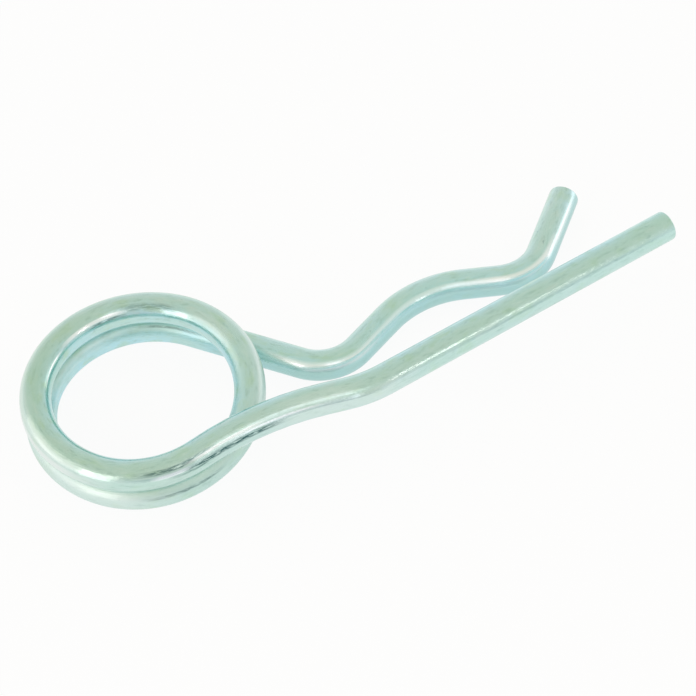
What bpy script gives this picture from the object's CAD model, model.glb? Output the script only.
# %% [markdown]
# # An R clip in bright zinc-plated spring wire
# This lesson dresses one small piece of hardware: a hitch clip bent from a
# single length of round spring wire. Its straight leg goes through the cross
# hole of a pin, its wavy leg snaps over the outside, and the coil between them
# is both the spring and the finger eye.
#
# The real clip starts as straight drawn wire on a reel. A bender feeds it and
# turns it, a blade shears it, and the finished clips are zinc plated in a
# barrel. The mesh is made in the same order, so that the marks of drawing and
# of plating can follow the wire round every bend.
#
# The frame comes first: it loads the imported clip, whose box the dressed clip
# has to keep. Blender works in metres here. A wire's sizes are easier to read
# in millimetres, so they are written that way and multiplied by `MM` where
# Blender needs them.

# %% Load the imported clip
from math import acos, asin, atan2, cos, degrees, pi, radians, sin

import bpy
from mathutils import Matrix, Vector, kdtree


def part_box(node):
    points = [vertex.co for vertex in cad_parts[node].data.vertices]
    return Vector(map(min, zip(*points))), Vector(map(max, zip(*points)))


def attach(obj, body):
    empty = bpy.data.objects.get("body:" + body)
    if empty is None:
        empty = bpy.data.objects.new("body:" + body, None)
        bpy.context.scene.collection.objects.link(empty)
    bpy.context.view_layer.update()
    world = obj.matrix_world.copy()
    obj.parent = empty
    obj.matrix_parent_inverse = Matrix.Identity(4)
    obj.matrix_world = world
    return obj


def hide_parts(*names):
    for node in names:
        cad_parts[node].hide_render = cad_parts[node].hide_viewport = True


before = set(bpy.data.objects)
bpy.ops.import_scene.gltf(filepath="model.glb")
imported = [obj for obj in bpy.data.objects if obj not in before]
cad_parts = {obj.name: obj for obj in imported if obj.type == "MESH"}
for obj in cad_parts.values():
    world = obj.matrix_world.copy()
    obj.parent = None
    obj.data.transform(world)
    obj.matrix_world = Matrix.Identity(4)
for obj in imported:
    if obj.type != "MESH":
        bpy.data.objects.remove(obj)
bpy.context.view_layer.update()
MM = 0.001

# %% [markdown]
# ## The wire's sizes
# These are the values that the clip's construction gives, in millimetres and
# degrees. A turn is how far a bend swings the wire, and a radius runs to the
# middle of the wire. The spring leg has three bends: the heel dips towards
# the straight leg, the saddle rises over the shaft, and the throat dips again
# before the flared tip. The coil is level half turns with sloping half turns
# between them, so that each turn lies on the one below with a hair's gap.

# %% Sizes of the wire
wire_d = 4.0
end_break = 0.3
eye_d = 22.8
turn_gap = 0.14
last_arc = 57.3

neck_turn, neck_r, neck_run = 20.0, 45.5, 3.0
leg_turn, leg_bend_r, leg_length = 18.4, 16.0, 44.0

root_run = 15.6
heel_turn, heel_r = 74.2, 6.2
saddle_rise, saddle_turn, saddle_r, saddle_fall = 6.4, 46.5, 14.4, 4.7
throat_turn, throat_r, tip_length = 64.9, 6.8, 10.8

coil_r = (eye_d + wire_d) / 2
slope = degrees(asin((wire_d + turn_gap) / (2 * coil_r)))
print(f"coil radius {coil_r:.2f} mm, slope of a half turn {slope:.2f} degrees")

# %% [markdown]
# ## Levelling the straight leg
# The wire is still climbing when it leaves the coil. One long bend, the neck,
# swings it aside and levels it at the same time, so the bend lies in a tilted
# plane. Its true angle and the tilt before and after it come from the wire's
# climb and from the turn wanted in plan.

# %% Angles of the neck
climb = degrees(asin(sin(radians(slope)) * sin(radians(last_arc))))
neck_angle = degrees(acos(cos(radians(climb)) * cos(radians(neck_turn))))
upright = degrees(atan2(sin(radians(slope)) * cos(radians(last_arc)), cos(radians(slope))))
dive = degrees(atan2(cos(radians(neck_turn)) * sin(radians(climb)), sin(radians(neck_turn))))
undive = degrees(atan2(sin(radians(climb)), cos(radians(climb)) * sin(radians(neck_turn))))
print(f"climb off the coil {climb:.2f}, neck bend {neck_angle:.2f} degrees")

# %% [markdown]
# ## One ring of wire
# A tube along a path could be a bevelled curve, but a curve only comes near to
# true arcs. A wire bender makes true arcs by turning the wire about a pin, and
# Blender's Spin does the same to a ring of points. So the mesh starts as one
# circle of points, which is then fed and bent along the whole clip.
#
# An operator acts on all that is selected, so everything is deselected before
# a new piece is added. Sixty-four points round the wire keep its outline
# smooth in a close view.

# %% Start the wire as one ring
def deselect_everything():
    """Leave edit mode and select nothing."""
    if bpy.context.object and bpy.context.object.mode != "OBJECT":
        bpy.ops.object.mode_set(mode="OBJECT")
    bpy.ops.object.select_all(action="DESELECT")


deselect_everything()
ring_points = 64
bpy.ops.mesh.primitive_circle_add(vertices=ring_points, radius=wire_d / 2 * MM, rotation=(pi / 2, 0, 0))
wire = bpy.context.object
wire.name = "zinc_wire_clip"
bpy.ops.object.transform_apply(location=True, rotation=True, scale=True)
bpy.ops.object.mode_set(mode="EDIT")
bpy.ops.mesh.select_all(action="SELECT")
print("first ring:", ring_points, "points,", wire_d, "mm across")

# %% [markdown]
# ## The bending head
# `head` keeps the place of the bender's head: the wire heads along its Y, a
# left bend has its pin towards minus X, and Z is up. Feeding extrudes the ring
# straight on, bending spins it about the pin, and rolling turns the head about
# the wire, so that the next bend lies in another plane.
#
# Each ring also notes how much wire has gone by and how the wire itself lies,
# in `rings`. Rolling turns the head but not the wire, so only feeds and bends
# change how the wire lies.
#
# With no window open, Spin turns the other way from a rotation matrix, so a
# bend gives it the head's angle with the opposite sign.

# %% Feed, bend and roll
head = Matrix.Identity(4)
lie = Matrix.Identity(4)
fed = 0.0
rings = [(fed, lie.copy())]
feed_stride = 1.5
bend_stride = 3


def move_head(step, run):
    """Carry the head and the wire's own lie through one step of a feed or a bend."""
    global head, lie, fed
    lie = head @ step @ head.inverted() @ lie
    head = head @ step
    fed += run
    rings.append((fed, lie.copy()))


def feed(run):
    """Push a length of wire straight on, in strides of about 1.5 mm."""
    steps = max(1, round(run / feed_stride))
    for _ in range(steps):
        stride = head.col[1].xyz * (run / steps * MM)
        bpy.ops.mesh.extrude_region_move(TRANSFORM_OT_translate={"value": stride})
        move_head(Matrix.Translation((0, run / steps * MM, 0)), run / steps)


def bend(angle, radius, side=1):
    """Turn the wire about a pin on its left, or on its right with side=-1, about 3 degrees a step."""
    to_pin = Matrix.Translation((-side * radius * MM, 0, 0))
    steps = max(4, round(angle / bend_stride))
    pin = (head @ to_pin).translation
    bpy.ops.mesh.spin(steps=steps, angle=radians(-side * angle), center=pin, axis=head.col[2].xyz)
    step = to_pin @ Matrix.Rotation(radians(side * angle / steps), 4, "Z") @ to_pin.inverted()
    for _ in range(steps):
        move_head(step, radians(angle / steps) * radius)


def roll(angle):
    """Turn the bender's head about the wire."""
    global head
    head = head @ Matrix.Rotation(radians(angle), 4, "Y")


print("the head starts at", tuple(head.translation), "and heads along", tuple(head.col[1].xyz))

# %% [markdown]
# ## Bending the spring leg
# The wire is followed from the spring leg's cut end to the straight leg's.
# Seen along that way, the dips of the spring leg are right bends and the
# saddle is a left bend. Each straight run and bend is one stroke of the
# bender, so the leg is a short list of strokes.

# %% Bend the spring leg
feed(tip_length)
bend(throat_turn, throat_r, side=-1)
feed(saddle_fall)
bend(saddle_turn, saddle_r)
feed(saddle_rise)
bend(heel_turn, heel_r, side=-1)
feed(root_run)
print(f"spring leg: {fed:.1f} mm of wire")

# %% [markdown]
# ## Winding the coil
# The coil could be a helix, but a helix never lies flat. A real clip's first
# turn does, and the wire steps up only where it has to pass over itself. So
# level and sloping half turns take turns, with a roll between them, and a last
# arc carries the wire round to where the neck starts.

# %% Wind the coil
for half_turn in range(3):
    bend(180, coil_r)
    roll(slope)
bend(last_arc, coil_r)
print(f"coil wound: {fed:.1f} mm of wire so far")

# %% [markdown]
# ## The neck and the straight leg
# Two rolls set the neck's bend in its tilted plane and then the leg's bend
# level again. The neck swings the wire away from the coil, and a tighter bend
# brings it back in line, which gives the S that steps the leg aside.

# %% Bend the neck and run out the straight leg
roll(dive - upright)
bend(neck_angle, neck_r, side=-1)
roll(-undive)
feed(neck_run)
bend(leg_turn, leg_bend_r)
feed(leg_length)
bpy.ops.object.mode_set(mode="OBJECT")
print(f"wire used: {fed:.1f} mm in {len(rings)} rings, {len(wire.data.vertices)} points")

# %% [markdown]
# ## Laying the clip in its frame
# The head stands at the straight leg's cut end, so undoing its place puts that
# end at the origin. A quarter turn then lays the leg along +X, and one shift
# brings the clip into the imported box. The turn and the shift go into the mesh,
# so the object itself stays at the origin, and the rings follow them.

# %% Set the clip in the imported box
def move_clip(matrix):
    """Move the mesh and every note of how the wire lies."""
    wire.data.transform(matrix)
    for number, (gone_by, lying) in enumerate(rings):
        rings[number] = (gone_by, matrix @ lying)


def wire_box():
    """The lowest and highest corners of the mesh."""
    points = [v.co for v in wire.data.vertices]
    return [Vector(min(p[k] for p in points) for k in range(3)),
            Vector(max(p[k] for p in points) for k in range(3))]


move_clip(Matrix.Rotation(-pi / 2, 4, "Z") @ head.inverted())
low, high = wire_box()
cad_low, cad_high = (Vector(corner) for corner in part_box("r_clip"))
move_clip(Matrix.Translation((cad_low + cad_high - low - high) / 2))
low, high = wire_box()
print("off the packed box, in mm:", [round(v / MM, 4) for v in (*(low - cad_low), *(high - cad_high))])

# %% [markdown]
# ## The sheared ends
# A blade parts the wire. It bites cleanly at first and leaves a smooth
# crescent, and then the rest breaks away a little lower and rougher. Tumbling
# in the plating barrel rounds the rim. So each end ring is filled with a face,
# its rim is bevelled to a small round, and the face is cut across and its
# larger part is let in by a few hundredths.
#
# Faces are found by where they are, and not by a number, because every
# operator gives the faces new numbers. The first helper selects the faces
# whose middle passes a test, and the second makes one end.
#
# The bevel leaves its points selected, so the first inset takes in the round
# as well as the face. It carries the round's outer edge 0.12 mm inwards, just
# past the next ring, and leaves a fold 0.026 mm wide there. To inset the face
# alone, everything would have to be deselected first, and the test would have
# to ask for many points too, because the round's first band also lies within
# its 0.01 mm.

# %% Pick faces by their place
def select_faces(test):
    """Select the faces that pass the test. In vertex mode, faces of selected points stay selected."""
    bpy.ops.object.mode_set(mode="OBJECT")
    wire.data.polygons.foreach_set("select", [test(face) for face in wire.data.polygons])
    bpy.ops.object.mode_set(mode="EDIT")
    bpy.ops.mesh.select_mode(type="FACE")


print("faces so far:", len(wire.data.polygons))

# %% Close one end
rim_inset = 0.12
bite_line = 0.55
break_inset = 0.1
break_depth = 0.05


def close_end(lying, outward):
    """Fill one end ring. `outward` is +1 where the wire heads out of the end."""
    middle, heading = lying.translation, lying.col[1].xyz * outward
    bite = (lying.col[2].xyz * 0.8 + lying.col[0].xyz * 0.6).normalized()

    def on_end(point):
        return abs((point - middle).dot(heading)) < 0.01 * MM and (point - middle).length < wire_d * MM

    bpy.ops.object.mode_set(mode="OBJECT")
    wire.data.vertices.foreach_set("select", [on_end(v.co) for v in wire.data.vertices])
    bpy.ops.object.mode_set(mode="EDIT")
    bpy.ops.mesh.edge_face_add()
    bpy.ops.mesh.bevel(offset=end_break * MM, segments=5, affect="EDGES")
    select_faces(lambda face: on_end(face.center))
    bpy.ops.mesh.inset(thickness=rim_inset * MM)
    bpy.ops.mesh.bisect(plane_co=middle + bite * bite_line * MM, plane_no=bite)
    select_faces(lambda face: on_end(face.center) and len(face.vertices) > 8
                 and (face.center - middle).dot(bite) < 0)
    bpy.ops.mesh.inset(thickness=break_inset * MM)
    bpy.ops.transform.translate(value=heading * -break_depth * MM)


for (gone_by, lying), outward in ((rings[0], -1), (rings[-1], 1)):
    bpy.ops.object.mode_set(mode="EDIT")
    bpy.ops.mesh.select_mode(type="VERT")
    bpy.ops.mesh.select_all(action="DESELECT")
    close_end(lying, outward)
    print(f"end closed at {gone_by:.1f} mm of wire")

# %% [markdown]
# ## Which way the faces point
# Spin can leave a skin inside out, and then its shading and its cut edges go
# wrong. The normals are made to point outwards once the ends are closed. A
# closed skin has no open edges, and that is counted as a proof.

# %% Turn the skin outwards and look for open edges
bpy.ops.mesh.select_mode(type="VERT")
bpy.ops.mesh.select_all(action="SELECT")
bpy.ops.mesh.normals_make_consistent(inside=False)
bpy.ops.mesh.select_all(action="DESELECT")
bpy.ops.mesh.select_non_manifold()
bpy.ops.object.mode_set(mode="OBJECT")
print("open edges left:", sum(v.select for v in wire.data.vertices))

# %% [markdown]
# ## Where each point was before bending
# Drawing marks run along the wire and follow it round the bends. A pattern in
# plain object space would cut across it instead. So every point is given the
# place that it had while the wire was still straight: across, along and up, in
# metres. The nearest ring says how much wire had gone by and how the wire lay.
# Noise read at that place has no seam round the wire, as a flat map would.
#
# Seen on the finished clip, across is positive on the outside of the coil and
# up is its top. Along runs from the spring leg's tip to the straight leg's end.

# %% Note the unbent place
unbent = wire.data.attributes.new("unbent", "FLOAT_VECTOR", "POINT")
ring_tree = kdtree.KDTree(len(rings))
for number, (gone_by, lying) in enumerate(rings):
    ring_tree.insert(lying.translation, number)
ring_tree.balance()
unbend = [lying.inverted() for gone_by, lying in rings]
for point, spot in zip(wire.data.vertices, unbent.data):
    number = ring_tree.find(point.co)[1]
    across, ahead, up = unbend[number] @ point.co
    spot.vector = (across, rings[number][0] * MM + ahead, up)
reach = max(spot.vector.y for spot in unbent.data) / MM
print(f"unbent wire {reach:.1f} mm long")

# %% [markdown]
# ## Round sides
# The rings are joined by flat faces, which show as facets until they are
# shaded smooth. Smoothing by angle does it for all faces that meet at less
# than 35 degrees, and leaves a sharper edge crisp. The rim's round is made of
# facets at 18 degrees, so it reads as one curve. The edges that stay sharp are
# those of the step in each cut face and of the narrow fold beside its rim.

# %% Shade the round sides smooth
deselect_everything()
wire.select_set(True)
bpy.context.view_layer.objects.active = wire
bpy.ops.object.shade_smooth_by_angle(angle=radians(35))
print(len(wire.data.polygons), "faces,", sum(edge.use_edge_sharp for edge in wire.data.edges), "sharp edges")

# %% [markdown]
# ## Bright zinc plate
# Bright zinc is a metal with a cool, faintly green-blue white. It gets a thin
# passive film whose colour wanders between aqua and a yellower sage. The wire
# under it was pulled through a die, which leaves long fine lines, and the
# plate itself has a faint grain. Both break up the edges of each reflection.
#
# A material is a graph of nodes, and most of its lines would be the same few
# calls. `add` makes one node, names it, and fills its sockets, either with a
# plain value or with a link from another node. Its sockets are filled in the
# order in which Blender shows them.

# %% Add nodes to a graph
def fill(tree, socket, value):
    """Link a socket to another node's output, or set it to a plain value."""
    if isinstance(value, bpy.types.NodeSocket):
        tree.links.new(value, socket)
    else:
        socket.default_value = value


def add(tree, kind, label, *inputs, **settings):
    """Add a node. Settings are its options or named sockets; inputs fill its shown sockets in order."""
    node = tree.nodes.new("ShaderNode" + kind)
    node.name = node.label = label
    for name, value in settings.items():
        if hasattr(node, name):
            setattr(node, name, value)
        else:
            fill(tree, node.inputs[name], value)
    for socket, value in zip([socket for socket in node.inputs if socket.enabled], inputs):
        fill(tree, socket, value)
    return node


def ramp(tree, label, source, stops):
    """A colour ramp with a stop at each (position, colour), in rising order."""
    node = add(tree, "ValToRGB", label, source)
    points = node.color_ramp.elements
    for number, (position, colour) in enumerate(stops):
        point = points[number] if number < 2 else points.new(position)
        point.position, point.color = position, (*colour, 1)
    return node.outputs["Color"]


zinc = bpy.data.materials.new("bright_zinc")
zinc.use_nodes = True
zinc_tree = zinc.node_tree
finish = zinc_tree.nodes["Principled BSDF"]
print("the zinc starts with:", [node.name for node in zinc_tree.nodes])

# %% [markdown]
# ## Patterns on the unbent wire
# Every pattern reads the `unbent` attribute, so it lies on the wire as it did
# before bending and never slides when the clip is turned. Noise is stretched
# by dividing that place by the size that a feature should have each way. Three
# more small helpers remap a value, blend two colours and do one sum.

# %% Helpers for the zinc
def stretched_noise(label, wide, long, **detail):
    """Noise whose features are so many millimetres wide across the wire and long along it."""
    scale = (1 / (wide * MM), 1 / (long * MM), 1 / (wide * MM))
    fit = add(zinc_tree, "Mapping", label + " fit", Vector=unbent_place, Scale=scale)
    return add(zinc_tree, "TexNoise", label, Vector=fit.outputs["Vector"], Scale=1.0, **detail).outputs["Fac"]


def remap(label, source, from_low, from_high, to_low, to_high):
    """Stretch a range of values onto another, and hold it at the ends."""
    return add(zinc_tree, "MapRange", label, source, from_low, from_high, to_low, to_high).outputs["Result"]


def blend(label, amount, first, second, mode="MIX"):
    """Go from the first colour to the second by an amount."""
    return add(zinc_tree, "Mix", label, amount, first, second, data_type="RGBA", blend_type=mode).outputs[2]


def figure(label, operation, *values):
    """One sum on values that change over the wire."""
    return add(zinc_tree, "Math", label, *values, operation=operation).outputs[0]


unbent_place = add(zinc_tree, "Attribute", "unbent place", attribute_name="unbent").outputs["Vector"]
place_parts = add(zinc_tree, "SeparateXYZ", "unbent parts", unbent_place)
wire_across, wire_along, wire_up = place_parts.outputs
print("the zinc reads:", [socket.name for socket in place_parts.outputs], "of the unbent place")

# %% [markdown]
# ## The passive film's colour
# The film is thinner than a wave of light, and its colour comes from light
# that is reflected at its two faces. Where it is a little thicker the colour
# moves from blue towards green and yellow. It could be one flat colour, but
# the drift is what tells plated zinc from painted steel. So broad soft noise
# moves it between aqua, sage, a hint of rose and a hint of yellow. The inside
# of the bends was shielded in the barrel and kept the bluest film.

# %% Film from inside to outside
aqua = (0.57, 0.84, 0.91, 1)
sage = (0.62, 0.80, 0.77, 1)
deep_sage = (0.59, 0.79, 0.72, 1)
outside = remap("outside amount", wire_across, -1.6 * MM, 1.6 * MM, 0, 1)
film = blend("film inside to outside", outside, aqua, sage)
drift = stretched_noise("film drift", 3, 7, Detail=3.0)
film = blend("film colour", remap("film amount", drift, 0.4, 0.62, 0, 0.6), film, deep_sage)
print("film started:", len(zinc_tree.nodes), "nodes in the zinc")

# %% Rosy and yellow places
rose = (0.64, 0.78, 0.74, 1)
yellow = (0.55, 0.75, 0.60, 1)
tint = stretched_noise("rainbow tint", 1.4, 3.2, Detail=3.0)
film = blend("film with rosy places", remap("rosy amount", tint, 0.56, 0.72, 0, 0.5), film, rose)
film = blend("film with yellow places", remap("yellow amount", tint, 0.46, 0.3, 0, 0.6), film, yellow)
print("tints added:", len(zinc_tree.nodes), "nodes")

# %% [markdown]
# ## Patches and streaks
# Close up, the film has pale flecks where it is thin and dull streaks where
# the bath dried on the wire. Both come from one finer noise: its high values
# are the flecks and its low values the streaks, so they never overlap.

# %% Pale patches and dull streaks
pale_film = (0.74, 0.88, 0.86, 1)
dull_film = (0.40, 0.58, 0.53, 1)
patches = stretched_noise("pale patches", 0.5, 1.8, Detail=4.0, Roughness=0.62)
film = blend("film with patches", remap("patch amount", patches, 0.54, 0.74, 0, 0.4), film, pale_film)
film = blend("film with dull streaks", remap("dull amount", patches, 0.46, 0.28, 0, 0.5), film, dull_film)
print("patches and streaks added:", len(zinc_tree.nodes), "nodes")

# %% [markdown]
# ## Tone along the wire
# Clips tangle in the barrel, and where the coil's turns shield each other the
# film comes out a touch darker than on the legs. A ramp along the wire
# multiplies the film by a tone. Its position is the share of the wire that has
# gone by, from the spring leg's tip at 0 to the straight leg's end at 1.

# %% Tone the film along the wire
share_of_wire = remap("share of the wire", wire_along, 0, fed * MM, 0, 1)
tone = ramp(zinc_tree, "tone along the wire", share_of_wire, [
    (0.0, (1.0, 1.0, 1.0)), (0.08, (0.94, 0.99, 0.98)), (0.5, (0.94, 0.97, 0.95)),
    (0.60, (0.92, 0.94, 0.90)), (0.635, (0.83, 0.89, 0.80)), (0.70, (0.92, 0.96, 0.92)),
    (0.78, (0.93, 0.97, 0.96)), (1.0, (0.91, 0.98, 0.97))])
film = blend("film toned", 1.0, film, tone, mode="MULTIPLY")
print("tone ramp over", round(fed, 1), "mm of wire")

# %% [markdown]
# ## Drawing lines and plate grain
# The die's lines run for many millimetres along the wire, and the plate's
# crystals are a fraction of a millimetre. Cutting either into the mesh would
# take millions of faces for a depth of a few hundredths, so both are heights
# for a Bump node, added together.

# %% Relief of the surface
relief_height = 0.018
die_lines = stretched_noise("die lines", 0.16, 8, Detail=3.0, Roughness=0.6)
grain = stretched_noise("plate grain", 0.28, 0.42, Detail=2.0)
relief = figure("relief", "ADD", die_lines, remap("grain height", grain, 0, 1, 0, 0.5))
bump = add(zinc_tree, "Bump", "surface relief", Height=relief, Strength=1.0, Distance=relief_height * MM)
fill(zinc_tree, finish.inputs["Normal"], bump.outputs["Normal"])
print("relief:", relief_height, "mm high")

# %% [markdown]
# ## Scuffs from the barrel
# Clips knock against each other in the plating barrel. The nicks are small and
# darker, and they come in groups, so a fine noise for the nicks is multiplied
# by a broad one that says where they may be.

# %% Scuffs
scuff_grey = (0.32, 0.48, 0.48, 1)
scuffs = stretched_noise("scuffs", 0.35, 0.8, Detail=4.0, Roughness=0.65)
scuffed_places = stretched_noise("scuffed places", 3, 6, Detail=1.0)
scuff_mask = figure("scuff mask", "MULTIPLY", remap("scuff amount", scuffs, 0.63, 0.74, 0, 1),
                    remap("scuff place", scuffed_places, 0.55, 0.65, 0, 1))
film = blend("film with scuffs", scuff_mask, film, scuff_grey)
print("scuffs added:", len(zinc_tree.nodes), "nodes")

# %% [markdown]
# ## Strips on the wire
# A tool marks a wire in a strip: so far along it and so far round it. A strip
# could be painted on a map, but numbers say it as a bender would. It starts and
# ends at a length of wire, and it is centred on a way round: 0 degrees is the
# outside of the coil, 90 the top and 180 the inside. Its edges are soft, and
# where two strips of a kind meet the stronger wins.

# %% Strips along and round the wire
way_round = figure("way round the wire", "ARCTAN2", wire_up, wire_across)


def strip(label, start, end, centre, half_width, strength):
    """A soft-edged strip from start to end in mm, centred on a way round in degrees."""
    middle, half = (start + end) / 2 * MM, (end - start) / 2 * MM
    from_middle = figure(label + " from middle", "SUBTRACT", wire_along, middle)
    from_centre = figure(label + " from centre", "SUBTRACT", way_round, radians(centre))
    lengthwise = remap(label + " length", figure(label + " off", "ABSOLUTE", from_middle),
                       half, half * 0.5, 0, strength)
    sideways = remap(label + " width", figure(label + " aside", "ABSOLUTE", from_centre),
                     radians(half_width), radians(half_width * 0.4), 0, 1)
    return figure(label, "MULTIPLY", lengthwise, sideways)


def strips(kind, rows):
    """All the strips of one kind. A row is start, end, centre, half width and strength."""
    mask = strip(kind + " 0", *rows[0])
    for number, row in enumerate(rows[1:], 1):
        mask = figure(f"{kind} with {number}", "MAXIMUM", mask, strip(f"{kind} {number}", *row))
    print(f"{kind}: {len(rows)} strips, {sum(row[1] - row[0] for row in rows):.0f} mm of wire in all")
    return mask


print("a strip is masked by", wire_along.name, "along the wire and", way_round.node.name)

# %% [markdown]
# ## Rubs from the coiling tools
# The wire is dragged round the coiling arbor and pressed by the neck's bending
# pin, and the plate over those scraped places stays dark in fine lines. One
# noise gives the lines, long along the wire, and the strips say where they are:
# two on the neck, three on the coil, and the rest on the heel and the legs.

# %% Rubs
rub_dark = (0.05, 0.14, 0.14, 1)
rubs = strips("rub", [
    (200, 217, -1, 12, 1.0), (196, 207, 30, 11, 0.8),
    (149, 159, 108, 17, 0.4), (157, 164, 131, 6, 0.7), (112, 123, 24, 7, 0.6),
    (44, 51, 149, 16, 0.4), (62, 72, 130, 6, 0.5), (234, 275, 10, 6, 0.2)])
rub_lines = stretched_noise("rub lines", 0.12, 1.15, Detail=4.0, Roughness=0.68)
line_amount = remap("line amount", rub_lines, 0.41, 0.53, 0.12, 1)
film = blend("film with rubs", figure("lines in the rubs", "MULTIPLY", rubs, line_amount), film, rub_dark)

# %% [markdown]
# ## Worn and burnished places
# The side of the spring leg that meets the tools and the other clips is worn to
# a thinner film, which is brighter. Where a tool pressed hardest, beside the
# rubs and at the leg's bends, the plate is burnished nearly white. Both are
# strips of a plain colour laid over the film.

# %% Worn and burnished places
worn_film = (0.78, 0.96, 0.98, 1)
burnished = (0.90, 0.99, 1.0, 1)
worn = strips("worn", [(4, 64, 132, 18, 0.95), (-4, 12, 155, 32, 0.35), (74, 92, 146, 20, 0.5)])
film = blend("film with worn places", worn, film, worn_film)
burnish = strips("burnish", [
    (202, 214, 25, 7, 1.0), (208, 222, 16, 5, 0.8), (198, 203, 9, 9, 1.0), (214, 227, 50, 24, 0.2),
    (156.5, 169, 118, 9, 1.0), (168, 176, 125, 5, 0.8),
    (8, 23, 128, 18, 1.0), (38, 55, 139, 17, 1.0), (1, 11, 144, 12, 1.0)])
film = blend("film with burnish", burnish, film, burnished)

# %% [markdown]
# ## The paled outside
# The outside of the coil and of the neck rolls on the barrel's wall, which
# pales the film over wide areas. Wide strips at part strength do that.

# %% Paled outside
rubbed_pale = (0.88, 0.92, 0.91, 1)
paled = strips("paled", [
    (88, 118, 0, 75, 0.35), (126, 146, 10, 40, 0.35), (139, 149, 100, 25, 0.2),
    (163, 192, 0, 50, 0.4), (168, 194, -12, 26, 0.7), (212, 234, -10, 40, 0.3)])
film = blend("film with paled places", paled, film, rubbed_pale)

# %% [markdown]
# ## The deeper film inside the spring leg
# Nothing rubs the hollow side of the spring leg, where the film keeps its full
# depth. A mask on the inside of the wire, faded out where the leg meets the
# coil, darkens it.

# %% Deeper film on the hollow side
unrubbed = (0.38, 0.62, 0.60, 1)
deep_inside = remap("deep inside", wire_across, -1.4 * MM, -1.95 * MM, 0, 0.72)
up_to_coil = remap("deep up to the coil", wire_along, 64 * MM, 58 * MM, 0, 1)
deep_film = figure("deep film", "MULTIPLY", deep_inside, up_to_coil)
film = blend("film with deep places", deep_film, film, unrubbed)
fill(zinc_tree, finish.inputs["Base Color"], film)
print("film finished:", len(zinc_tree.nodes), "nodes feed the base colour and the relief")

# %% [markdown]
# ## Gloss
# Drawn and plated wire is bright but not a mirror, and its gloss runs in
# streaks. The lower turn is a little duller than the rest. So the roughness is
# a streaky value plus a ramp along the wire. Metallic is the same all over, so
# it is set on the shader itself.

# %% Gloss along the wire
gloss = stretched_noise("gloss streaks", 0.5, 14, Detail=2.0)
streaky = remap("streaky gloss", gloss, 0.3, 0.7, 0.11, 0.21)
dulled = ramp(zinc_tree, "dulled lower turn", share_of_wire, [
    (position, (amount, amount, amount))
    for position, amount in ((0.0, 0.05), (0.18, 0.07), (0.22, 0.24), (0.49, 0.26), (0.535, 0.0))])
fill(zinc_tree, finish.inputs["Roughness"], figure("gloss along the wire", "ADD", streaky, dulled))
finish.inputs["Metallic"].default_value = 1.0
wire.data.materials.append(zinc)
print("zinc:", len(zinc_tree.nodes), "nodes")

# %% [markdown]
# ## Joining the frame
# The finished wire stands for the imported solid, which stays hidden under it
# for collision. It rides on the one body that the clip has, and takes the
# record's zinc slot. A clip with a hinge would ride in two parts here.

# %% Ride on the clip's body
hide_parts("r_clip")
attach(wire, "root")
print(wire.name, "rides at", tuple(wire.location), "and stands for r_clip")

# %% [markdown]
# ## The camera
# The clip is seen from above the coil's side, through a long lens, so that its
# wire looks about as thick at the far end as at the near one. A direction is
# easier to think about than a place, so `look_from` turns an azimuth, an
# elevation and a distance into a place and a facing. The lamps use it too.

# %% Camera
def look_from(azimuth, elevation, distance, target=Vector()):
    """A place and facing for something that looks at the target from a direction."""
    turn = Matrix.Rotation(radians(azimuth + 90), 4, "Z") @ Matrix.Rotation(radians(90 - elevation), 4, "X")
    return Matrix.Translation(target) @ turn @ Matrix.Translation((0, 0, distance * MM))


seen_from, seen_above, seen_at, lean = -120.03, 50.64, 307.96, -4.2
aim = Vector((0.47, -2.97, 0)) * MM
camera = bpy.data.objects.new("camera", bpy.data.cameras.new("camera"))
bpy.context.collection.objects.link(camera)
camera.data.sensor_width = 36
camera.data.lens = 122.9
camera.matrix_world = (look_from(seen_from, seen_above, seen_at, aim)
                       @ Matrix.Rotation(radians(lean), 4, "Z"))
bpy.context.scene.camera = camera
print("camera at, in mm:", [round(v / MM, 1) for v in camera.matrix_world.translation])

# %% [markdown]
# ## The table
# Small hardware is shown on plain white. A white table that is lit well enough
# to look white would need strong lamps, and they would bleach the clip. So the
# table is a matt white that takes the clip's shadow, mixed with a plain white
# that only the camera and mirrored rays see. It looks white in the frame and in
# the metal, with no more light on the clip.

# %% Table
seen_white, mirrored_white = 0.92, 0.8
deselect_everything()
bpy.ops.mesh.primitive_plane_add(size=4)
table = bpy.context.object
table.name = "table"
table_paint = bpy.data.materials.new("white_table")
table_paint.use_nodes = True
table_tree = table_paint.node_tree
matt = table_tree.nodes["Principled BSDF"]
matt.inputs["Base Color"].default_value = (0.95, 0.95, 0.95, 1)
matt.inputs["Roughness"].default_value = 0.9
matt.inputs["Specular IOR Level"].default_value = 0.1

ray = add(table_tree, "LightPath", "kind of ray").outputs
seen = add(table_tree, "Math", "seen", ray["Is Camera Ray"], seen_white, operation="MULTIPLY")
mirrored = add(table_tree, "Math", "mirrored", ray["Is Glossy Ray"], mirrored_white, operation="MULTIPLY")
white = add(table_tree, "Math", "white share", seen.outputs[0], mirrored.outputs[0], operation="MAXIMUM")
glow = add(table_tree, "Emission", "plain white")
mixed = add(table_tree, "MixShader", "table top", white.outputs[0], matt.outputs[0], glow.outputs[0])
fill(table_tree, table_tree.nodes["Material Output"].inputs["Surface"], mixed.outputs[0])
table.data.materials.append(table_paint)
print("table:", tuple(round(side, 2) for side in table.dimensions), "m")

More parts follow.
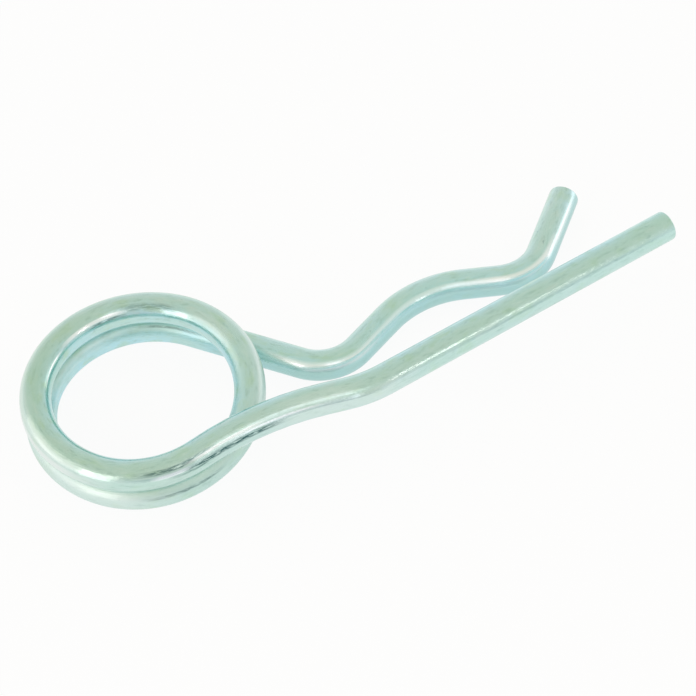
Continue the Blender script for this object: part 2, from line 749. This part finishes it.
# %% [markdown]
# ## Soft boxes
# Bright metal shows little but its surroundings, so most of its look is made
# here. A soft box is an area lamp, which the clip mirrors as a bright panel. Its
# power is spread over its area, so multiplying the wanted brightness by pi and
# by the area makes every box glow alike, whatever its size. `away` is the
# direction away from the camera, and boxes are turned from it, to the left with
# a plus and to the right with a minus.
#
# Two large boxes and a tall post light the left of the coil. Two more, at the
# right and over the shoulder, light the flanks. Three small ones give the
# coil's crescent and the thin streaks on the neck and the straight leg. All are
# tinted faintly warm, rosy or lilac, which sets off the green of the film.

# %% Soft boxes
def soft_box(name, azimuth, elevation, distance, width, height, brightness, colour):
    """An area lamp, placed by the direction in which the clip sees it."""
    lamp = bpy.data.lights.new(name, "AREA")
    lamp.shape = "RECTANGLE"
    lamp.size, lamp.size_y = width * MM, height * MM
    lamp.energy = brightness * pi * lamp.size * lamp.size_y
    lamp.color = colour
    box = bpy.data.objects.new(name, lamp)
    bpy.context.collection.objects.link(box)
    box.matrix_world = look_from(azimuth, elevation, distance)
    print(f"{name}: {width} by {height} mm, {distance} mm away, brightness {brightness}")


warm, rosy, lilac = (1.0, 0.80, 0.78), (1.0, 0.75, 0.88), (0.96, 0.86, 0.96)
away = seen_from + 180
soft_box("left_box", away + 101, 20, 420, 480, 380, 0.34, warm)
soft_box("left_core", away + 98, 8, 400, 180, 180, 0.16, warm)
soft_box("left_post", away + 137, 18, 380, 150, 260, 0.9, warm)
soft_box("right_wash", away - 68, 0, 320, 200, 190, 0.55, warm)
soft_box("over_shoulder", away - 164, 51, 400, 98, 195, 0.40, rosy)
soft_box("coil_card", away - 151, 48, 400, 54, 84, 0.62, lilac)
soft_box("neck_strip", away - 158.5, 22.5, 127, 11, 44, 0.62, lilac)
soft_box("leg_strip", away - 124.5, 31.5, 420, 22, 44, 4.5, warm)

# %% [markdown]
# ## The room
# The room is the world's background, a quiet grey that is palest near the
# table. On the side that the clip is seen from, the walls are darker, as they
# are where someone stands and looks, and this draws the soft dark bands along
# the wire. Two ramps from the table's level to straight above are the pale and
# the dark wall, and one blends into the other towards that side.

# %% Room
room = bpy.data.worlds.new("room")
room.use_nodes = True
room_tree = room.node_tree
facing = add(room_tree, "TexCoord", "facing").outputs["Generated"]
height = add(room_tree, "SeparateXYZ", "height", facing).outputs["Z"]
pale_wall = ramp(room_tree, "pale wall", height, [
    (0.0, (0.88, 0.89, 0.90)), (0.3, (0.82, 0.81, 0.78)), (0.85, (0.75, 0.75, 0.655))])
dark_wall = ramp(room_tree, "dark wall", height, [
    (0.0, (0.66, 0.69, 0.71)), (0.12, (0.66, 0.68, 0.70)), (0.2, (0.74, 0.74, 0.74)),
    (0.7, (0.68, 0.66, 0.61)), (0.95, (0.75, 0.75, 0.655))])

dark_side = radians(seen_from + 12)
toward = add(room_tree, "VectorMath", "towards the dark side", facing, (cos(dark_side), sin(dark_side), 0),
             operation="DOT_PRODUCT")
darkness = add(room_tree, "MapRange", "darkness", toward.outputs["Value"], 0.80, 0.94)
walls = add(room_tree, "Mix", "walls", darkness.outputs["Result"], pale_wall, dark_wall, data_type="RGBA")
fill(room_tree, room_tree.nodes["Background"].inputs["Color"], walls.outputs[2])
bpy.context.scene.world = room
bpy.context.scene.view_settings.view_transform = "Standard"
print("room:", len(room_tree.nodes), "nodes, view transform", bpy.context.scene.view_settings.view_transform)
